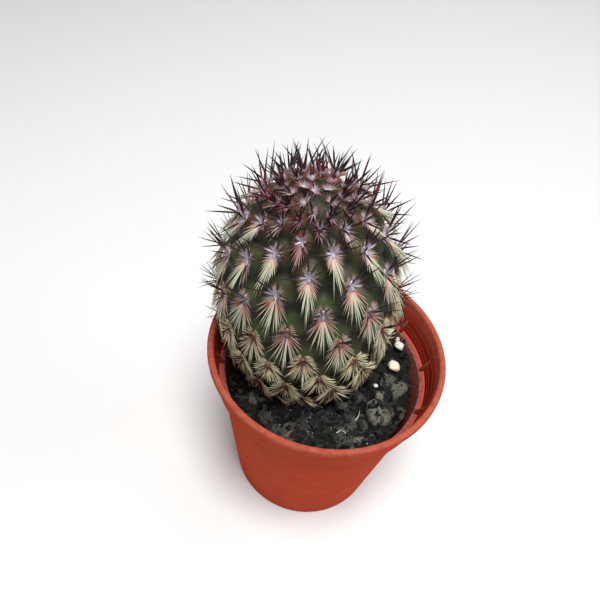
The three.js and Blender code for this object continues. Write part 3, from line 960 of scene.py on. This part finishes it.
def profile_table(steps=600):
    """Angle from the crown against arc down the stem's profile."""
    angle = math.pi * (np.arange(steps) + 0.5) / steps
    height = np.where(np.cos(angle) > 0, STEM_ABOVE, STEM_BELOW)
    step = np.hypot(STEM_RADIUS * np.cos(angle), height * np.sin(angle)) * math.pi / steps
    return np.linspace(0, math.pi, steps + 1), np.r_[0, np.cumsum(step)]


PROFILE_ANGLE, PROFILE_ARC = profile_table()
WHOLE_ARC = PROFILE_ARC[-1]


def arc_step(arc):
    grown = FULL_STEP * (1 - np.exp(-(arc / FULL_ARC) ** 2))
    return np.where(arc > BURIED_ARC, BURIED_STEP, grown)


def count_table():
    """Arc from the crown at every third of a count down the spiral."""
    crown_count = CROWN_ARC / (2 * float(arc_step(CROWN_ARC)))
    arcs = [0.0]
    while arcs[-1] < WHOLE_ARC:
        count = len(arcs) / TABLE_CELLS
        if count < crown_count:
            arcs.append(CROWN_ARC * math.sqrt(count / crown_count))
        else:
            arcs.append(arcs[-1] + float(arc_step(arcs[-1])) / TABLE_CELLS)
    return np.arange(len(arcs)) / TABLE_CELLS, np.minimum(arcs, WHOLE_ARC)


TABLE_COUNT, TABLE_ARC = count_table()


def arc_at(count):
    return np.interp(count, TABLE_COUNT, TABLE_ARC)


def stem_place(arc, azimuth):
    """Points on the egg shape, with their outward, downward and sideways directions."""
    angle = np.interp(arc, PROFILE_ARC, PROFILE_ANGLE)
    height = np.where(np.cos(angle) > 0, STEM_ABOVE, STEM_BELOW)
    outward = np.cos(azimuth)[:, None] * ACROSS + np.sin(azimuth)[:, None] * ALONG
    side = -np.sin(azimuth)[:, None] * ACROSS + np.cos(azimuth)[:, None] * ALONG
    girth = STEM_RADIUS * np.sin(angle)
    point = STEM_CENTRE + girth[:, None] * outward + (height * np.cos(angle))[:, None] * LEAN
    down = (STEM_RADIUS * np.cos(angle))[:, None] * outward
    down = down - (height * np.sin(angle))[:, None] * LEAN
    down = down / np.linalg.norm(down, axis=1, keepdims=True)
    return point, np.cross(down, side), down, side, np.maximum(0.5, girth)


def off_rim(point):
    """Keeps the stem's flank off the pot's wall and rim."""
    z = point[:, 2]
    free = inside_radius(np.minimum(z - CUSHION, POT_HEIGHT - 1)) - RIM_GAP
    limit = free + np.maximum(0, z - POT_HEIGHT) * 0.8
    reach = np.hypot(point[:, 0], point[:, 1])
    share = np.where((z < POT_HEIGHT + 3) & (reach > limit), limit / np.maximum(reach, 1e-6), 1)
    point[:, 0] *= share
    point[:, 1] *= share
    return point


def spacing(arc, girth):
    step = np.minimum(arc_step(np.maximum(arc, CROWN_ARC)), FULL_STEP)
    return np.sqrt(2 * math.pi * girth * step)


TURN_STEEP = -STEEP * DIVERGENCE + 3 * 2 * math.pi
TURN_SHALLOW = -SHALLOW * DIVERGENCE + 5 * 2 * math.pi


def tubercle_share(a, b, arc, girth):
    """How far each place lies from its nearest tubercle tip, as a share of the half spacing."""
    gap = spacing(arc, girth)
    nearest = gap.copy()
    for da in (-1, 0, 1, 2):
        for db in (-1, 0, 1, 2):
            tip_a, tip_b = np.floor(a) + da, np.floor(b) + db
            count = STEEP * tip_a + SHALLOW * tip_b
            turn = (a - tip_a) * TURN_STEEP + (b - tip_b) * TURN_SHALLOW
            away = np.hypot(girth * turn, arc - arc_at(count))
            nearest = np.where(count >= 0, np.minimum(nearest, away), nearest)
    return np.minimum(1, nearest / (0.54 * gap)), gap


def make_stem(material, cells=12):
    """The stem's skin: a grid along the two sets of spiral rows, raised into tubercles."""
    last_count = TABLE_COUNT[-1]
    index, grid = {}, []

    def node(i, j):
        cell = STEEP * i + SHALLOW * j
        if cell <= 0:
            return 0
        if cell >= last_count * cells:
            return 1
        wrap = j // (STEEP * cells)
        key = (i + wrap * SHALLOW * cells, j - wrap * STEEP * cells)
        if key not in index:
            index[key] = len(grid) + 2
            grid.append((key[0] / cells, key[1] / cells))
        return index[key]

    faces = []
    columns = int(last_count * cells / STEEP) + 6
    for j in range(STEEP * cells):
        first = (-SHALLOW * (j + 1)) // STEEP - 2
        for i in range(first, first + columns):
            quad = (node(i, j), node(i + 1, j), node(i + 1, j + 1), node(i, j + 1))
            ring = tuple(v for k, v in enumerate(quad) if v != quad[k - 1])
            if len(set(ring)) > 2:
                faces.append(ring)
    a, b = np.array(grid).T
    arc = arc_at(STEEP * a + SHALLOW * b)
    point, normal, _, _, girth = stem_place(arc, SPIRAL_START + a * TURN_STEEP + b * TURN_SHALLOW)
    share, gap = tubercle_share(a, b, arc, girth)
    buried = smoothstep(arc, BURIED_ARC - 6, BURIED_ARC)
    depth = RELIEF * gap * mix(share ** 1.5, 0.6, buried)
    point = off_rim(point - depth[:, None] * normal)
    ends = stem_place(np.array([0.0, WHOLE_ARC]), np.zeros(2))[0]
    # 1 on the tubercles' tips and 0 in their valleys, for the painted shade in the valleys.
    ridge = np.r_[1, 0, 1 - share]
    age = np.r_[0, 1, smoothstep(arc, 22, 48)]
    flush = np.r_[0.6, 0, 0.8 * (1 - smoothstep(arc, 8, 24)) * smoothstep(1 - share, 0.05, 0.6)]
    return mesh_object("stem_skin", np.r_[ends, point], faces, material,
                       ridge=ridge, age=age, flush=flush)


# Spines

# Arcs down from the crown between which the areoles and their spines change
YOUNG_ARCS = (6, 13)
SLIM_ARCS = (13, 23)
OLD_ARCS = (28, 48)
COMB_FADE_ARCS = (20, 36)
CENTRAL_DRY_ARCS = (18, 32)
WOOL_DRY_ARCS = (17, 31)

# How many radial spines an areole has
GROWN_RADIALS = 54
OLD_RADIALS = 60
YOUNG_RADIALS = 20

# Length of the radial spines by their turn from straight down the stem: where the areole is
# grown, in the slim feathers above that, where it is old, and where it is young
RADIAL_TURNS = (0, 15, 32, 55, 90, 172)
RADIAL_LENGTHS = (
    (8.3, 7.9, 5.9, 3.4, 2.2, 1.6),
    (8.3, 4.4, 2.7, 2.4, 2.2, 1.6),
    (5.6, 5.8, 5.8, 5.3, 3.8, 1.6),
    (3.6, 3.3, 2.7, 2.3, 2.1, 1.8),
)


# How far a spine that would touch is raised, in degrees, and to what share it is shortened
RAISED = (0, 9, 20, 34)
SHORTENED = (1, 0.86, 0.72, 0.58, 0.44)


def is_clear(p, margin=0.35):
    """Whether points are clear of the pot and of the soil."""
    reach = np.hypot(p[:, 0], p[:, 1])
    z = p[:, 2]
    below_ribs = z < LEDGE_HEIGHT + RIB_HEIGHT + margin
    wall = np.where(below_ribs, inside_radius(LEDGE_HEIGHT - 1), inside_radius(z))
    in_pot = (reach < RIM_RADIUS + margin) & (z < POT_HEIGHT + margin) & (reach > wall - margin)
    in_soil = (z < soil_height(p[:, 0], p[:, 1]) - 0.1) & (reach < RIM_RADIUS)
    return ~(in_pot | in_soil)


def needles(root, heading, bend, length, radius, sides, segments, taper=1.8):
    """Tapered curved needles: points, faces, the share along each, and each point's needle."""
    count = len(root)
    length = np.broadcast_to(length, count)
    radius = np.broadcast_to(radius, count)
    heading = heading / np.linalg.norm(heading, axis=1, keepdims=True)
    helper = np.where(np.abs(heading[:, 2:]) < 0.9, [[0, 0, 1.0]], [[1.0, 0, 0]])
    first = np.cross(heading, helper)
    first = first / np.linalg.norm(first, axis=1, keepdims=True)
    second = np.cross(heading, first)
    turn = np.arange(sides) * 2 * math.pi / sides
    ring_offset = (np.cos(turn)[None, :, None] * first[:, None, :]
                   + np.sin(turn)[None, :, None] * second[:, None, :])
    stations = np.linspace(0, 1, segments + 1)[:-1]
    rings = []
    for t in stations:
        centre = root + (heading * t + bend * t * t) * length[:, None]
        thick = radius * (1 - t ** taper)
        rings.append(centre[:, None, :] + ring_offset * thick[:, None, None])
    tip = root + (heading + bend) * length[:, None]
    points = np.concatenate([np.stack(rings, 1).reshape(count, -1, 3), tip[:, None, :]], 1)
    per = points.shape[1]
    single = [tuple(range(sides - 1, -1, -1))]
    for s in range(segments - 1):
        for k in range(sides):
            n = (k + 1) % sides
            low, high = s * sides, (s + 1) * sides
            single.append((low + k, low + n, high + n, high + k))
    top = (segments - 1) * sides
    single += [(top + k, top + (k + 1) % sides, per - 1) for k in range(sides)]
    faces = [tuple(start + v for v in face) for start in range(0, count * per, per)
             for face in single]
    along = np.tile(np.r_[np.repeat(stations, sides), 1.0], count)
    owner = np.repeat(np.arange(count), per)
    return points.reshape(-1, 3), faces, along, owner


def build_spines(rows, name, material, sides, segments, taper):
    """One mesh of all spines, each shortened or raised until it clears the pot and the soil.

    A row holds a spine's root, normal, level direction, lift, bend, length, radius and looks.
    """
    root, normal, level, lift, bend, length, radius = (
        np.array([row[k] for row in rows]) for k in range(7))
    low = np.array(cad_low) / MM + 0.15
    high = np.array(cad_high) / MM - 0.15
    chosen = np.zeros(len(root), bool)
    best_heading, best_length = np.zeros_like(root), np.zeros(len(root))
    for extra in RAISED:
        angle = np.radians(lift + extra)[:, None]
        heading = level * np.cos(angle) + normal * np.sin(angle)
        for share in SHORTENED:
            clear = ~chosen
            for t in (0.3, 0.55, 0.8, 1.0):
                spot = root + (heading * t + bend * t * t) * (length * share)[:, None]
                clear &= is_clear(spot) & (spot > low).all(1) & (spot < high).all(1)
            best_heading[clear] = heading[clear]
            best_length[clear] = (length * share)[clear]
            chosen |= clear
    keep = np.flatnonzero(chosen)
    points, faces, along, owner = needles(root[keep], best_heading[keep], bend[keep],
                                          best_length[keep], radius[keep], sides, segments, taper)
    looks = {key: np.array([rows[k][7][key] for k in keep])[owner] for key in rows[0][7]}
    return mesh_object(name, points, faces, material, along=along, **looks)


def areole_places():
    """Every areole above the soil: its place, directions and stage of growth."""
    counts = np.arange(int(TABLE_COUNT[-1]))
    counts = counts[arc_at(counts) < BURIED_ARC]
    arc = arc_at(counts)
    point, normal, down, side, girth = stem_place(arc, SPIRAL_START - counts * DIVERGENCE)
    point = off_rim(point)
    above = point[:, 2] > soil_height(point[:, 0], point[:, 1]) - 0.3
    gap = spacing(arc, girth)
    return [
        SimpleNamespace(point=point[k], normal=normal[k], down=down[k], side=side[k],
                        arc=float(arc[k]), size=float(np.clip(gap[k] / 8, 0.3, 1.0)),
                        young=float(1 - smoothstep(arc[k], *YOUNG_ARCS)),
                        slim=float(1 - smoothstep(arc[k], *SLIM_ARCS)),
                        old=float(smoothstep(arc[k], *OLD_ARCS)))
        for k in np.flatnonzero(above)
    ]


def bent(areole, rng, droop, sway):
    """How far a spine's tip leaves its straight line: in towards the stem, and sideways."""
    return -droop * areole.normal + rng.normal(0, sway) * areole.side


def radial_rows(areole, rng):
    """Radial spines set like the barbs of a feather: long below, short at the sides and top."""
    size, slim, young, old = areole.size, areole.slim, areole.young, areole.old
    late = float(smoothstep(areole.arc, *COMB_FADE_ARCS))
    count = round(mix(mix(GROWN_RADIALS, OLD_RADIALS, old), YOUNG_RADIALS, young))
    spread = mix(mix(1.5, 1.15, old) + 0.35 * slim, 1.0, young)
    blushed = rng.uniform() < 0.3 * (1 - smoothstep(areole.arc, 10, 22))
    rows = []
    for k in range(count):
        u = (k + 0.5) / count * 2 - 1
        turn = RADIAL_TURNS[-1] * abs(u) ** spread
        side = math.copysign(1, u)
        grown, feather, aged, fresh = (np.interp(turn, RADIAL_TURNS, row) for row in RADIAL_LENGTHS)
        length = mix(mix(mix(grown, feather, slim), aged, old), fresh, young)
        length *= rng.uniform(0.80, 1.10)
        angle = math.radians(side * turn + rng.normal(0, 3.0))
        level = areole.down * math.cos(angle) + areole.side * math.sin(angle)
        below = np.interp(turn, (0, 45, 172), (1.5, 1.1, -1.4)) * size
        beside = side * min(1, turn / 30) * 0.34 * size
        root = areole.point + below * areole.down + beside * areole.side
        comb = float(smoothstep(turn, mix(50, 28, slim), mix(76, 52, slim))) * (1 - 0.85 * late)
        lift = mix(10, 22, comb) + 20 * young + 6 * old + rng.normal(0, 4)
        red = float(smoothstep(turn, 14, 36) * (1 - 0.6 * old) + rng.normal(0.0, 0.13))
        blush = blushed * rng.uniform(0.2, 0.9)
        bend = bent(areole, rng, 0.07, 0.04)
        radius = mix(0.145, 0.105, max(comb, young))
        looks = {"age": old, "red": np.clip(red, 0, 1), "comb": comb, "young": young,
                 "blush": blush, "tone": rng.uniform(0, 1) ** 2}
        rows.append((root, areole.normal, level, lift, bend, length, radius, looks))
    return rows


def central_headings(areole, rng):
    """Where the dark spines point, in degrees from straight down the stem."""
    arc = areole.arc
    if arc < 4.5:
        return rng.uniform(-180, 180, 2)
    if arc < 10:
        return np.array([-150, 140, -75, 70, 10]) + rng.uniform(-25, 25)
    if arc < 20:
        return [-165, -138, 137, 165, -100, 96]
    if arc < 38:
        return [-163, -135, 140, 166, -103, 106] + [3] * (rng.uniform() < 0.6)
    return [-150, 146, -42, 40, 0]


def central_rows(areole, rng):
    """The dark stiff spines in the middle of the areole."""
    arc, size, young, old = areole.arc, areole.size, areole.young, areole.old
    if arc < 2.5:
        return []
    growth = mix(0.5, 1.0, smoothstep(arc, 2, 14))
    blushed = rng.uniform() < 0.18 * (1 - smoothstep(arc, 10, 26))
    late = float(smoothstep(arc, *CENTRAL_DRY_ARCS))
    rows = []
    for heading in central_headings(areole, rng):
        angle = math.radians(heading + rng.normal(0, 6))
        below = abs(heading) < 60
        lift = mix(20 if below else 46, 75, young) + rng.normal(0, 5)
        length = mix(mix(mix(6.4 if below else 7.8, 6.0, late), 4.2, old), 7.0, young)
        length *= growth * rng.uniform(0.85, 1.12)
        level = areole.down * math.cos(angle) + areole.side * math.sin(angle)
        root = areole.point + level * 0.35 * size + areole.normal * 0.15 * size
        red = float(np.clip(rng.normal(0.4 * blushed, 0.10), 0, 0.9)) * (1 - 0.6 * old)
        radius = mix(mix(0.14 if below else 0.215, 0.13, late), 0.25, young)
        rows.append((root, areole.normal, level, lift, bent(areole, rng, 0.02, 0.02), length,
                     radius, {"age": late, "red": red}))
    return rows


def make_spines(radial, central):
    rng = np.random.default_rng(17)
    radials, centrals = [], []
    for areole in areole_places():
        radials += radial_rows(areole, rng)
        centrals += central_rows(areole, rng)
    return [build_spines(radials, "radial_spines", radial, 4, 3, 1.8),
            build_spines(centrals, "central_spines", central, 6, 5, 2.0)]


def make_wool(material):
    """A felted cushion and short wool at every areole."""
    rng = np.random.default_rng(23)
    ball, ball_faces = icosphere(2)
    shapes, tones, ages = [], [], []
    for areole in areole_places():
        size = areole.size
        axes = np.array([areole.side, areole.down, areole.normal])
        lumpy = ball * (1 + 0.12 * rng.normal(size=(len(ball), 1)))
        cushion = lumpy * (0.5 * size, 1.25 * size, 0.34 * size) @ axes + areole.point
        shapes.append((cushion, ball_faces))
        old = float(smoothstep(areole.arc, *WOOL_DRY_ARCS))
        tones += list(rng.uniform(0, 1, len(ball)))
        ages += [old] * len(ball)
        strands = round(mix(26, 8, old))
        u = rng.uniform(-1, 1, strands)
        side = rng.normal(0, 0.3, strands)
        roots = (areole.point + np.outer(u * 1.2 * size, areole.down)
                 + np.outer(side * size, areole.side))
        heading = areole.normal * 0.7 + rng.normal(0, 0.6, (strands, 3))
        hair, hair_faces, _, _ = needles(roots, heading, rng.normal(0, 0.2, (strands, 3)),
                                         rng.uniform(0.5, 1.1, strands) * size, 0.045, 3, 2)
        shapes.append((hair, hair_faces))
        tones += list(rng.uniform(0.4, 1, len(hair)))
        ages += [old] * len(hair)
    points, faces = joined(shapes)
    return mesh_object("areole_wool", points, faces, material, tone=tones, age=ages)


# Camera, floor and light

def make_camera():
    """The photograph's view: camera place and turn were fitted to the rim of the pot."""
    camera = bpy.data.objects.new("camera", bpy.data.cameras.new("camera"))
    bpy.context.scene.collection.objects.link(camera)
    place = Vector((0, -84.625, 156.479)) * MM
    right = Vector((0.97070193, 0.21406689, 0.10914726))
    up = Vector((-0.23160261, 0.71251086, 0.66233564))
    back = Vector((0.06401552, -0.66820928, 0.74121412))
    turn = Matrix((right, up, back)).transposed().to_4x4()
    camera.matrix_world = Matrix.Translation(place) @ turn
    camera.data.sensor_width = 36
    camera.data.lens = 35.4
    camera.data.clip_start = 0.005
    bpy.context.scene.camera = camera


def make_floor(material):
    half = 900.0
    corners = [(-half, -half, 0), (half, -half, 0), (half, half, 0), (-half, half, 0)]
    floor = mesh_object("floor", corners, [(0, 1, 2, 3)], material, smooth=False)


def area_light(name, place, target, size, power, colour=(1, 1, 1)):
    light = bpy.data.objects.new(name, bpy.data.lights.new(name, "AREA"))
    light.data.shape = "DISK"
    light.data.size = size
    light.data.energy = power
    light.data.color = colour
    light.location = place
    direction = Vector(target) - Vector(place)
    light.rotation_euler = direction.to_track_quat("-Z", "Y").to_euler()
    bpy.context.scene.collection.objects.link(light)


def make_light():
    aim = (0, 0, 0.05)
    area_light("key_light", (0.03, -0.13, 0.56), aim, 0.22, 4.4, (1.0, 0.985, 0.96))
    area_light("fill_light", (0.5, 0.1, 0.3), aim, 0.4, 1.2, (0.93, 0.96, 1.0))
    area_light("back_light", (0.1, 0.5, 0.4), aim, 0.4, 1.0)
    world = bpy.data.worlds.new("studio")
    world.use_nodes = True
    background = world.node_tree.nodes["Background"]
    background.inputs["Color"].default_value = (0.95, 0.97, 1.0, 1)
    background.inputs["Strength"].default_value = 0.26
    bpy.context.scene.world = world


def main():
    bpy.context.scene.view_settings.view_transform = "Standard"
    make_camera()
    make_light()
    make_floor(floor_material())
    plastic, peat, crumb = plastic_material(), soil_material(), crumb_material()
    perlite = perlite_material()
    slots = {"pot_plastic": make_pot(plastic)}
    slots["soil"] = [make_soil(peat), make_crumbs(crumb), make_bark(crumb), make_fibres(crumb)]
    slots["perlite"] = [make_grain(name, perlite, 60 + k) for k, name in enumerate(GRAINS)]
    slots["perlite"].append(make_specks(perlite))
    stem = make_stem(skin_material())
    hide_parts("cactus")
    slots["cactus"] = [stem, *make_spines(radial_material(), central_material()),
                       make_wool(wool_material())]
    for slot, pieces in slots.items():
        for piece in pieces:
            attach(piece, "root")


main()
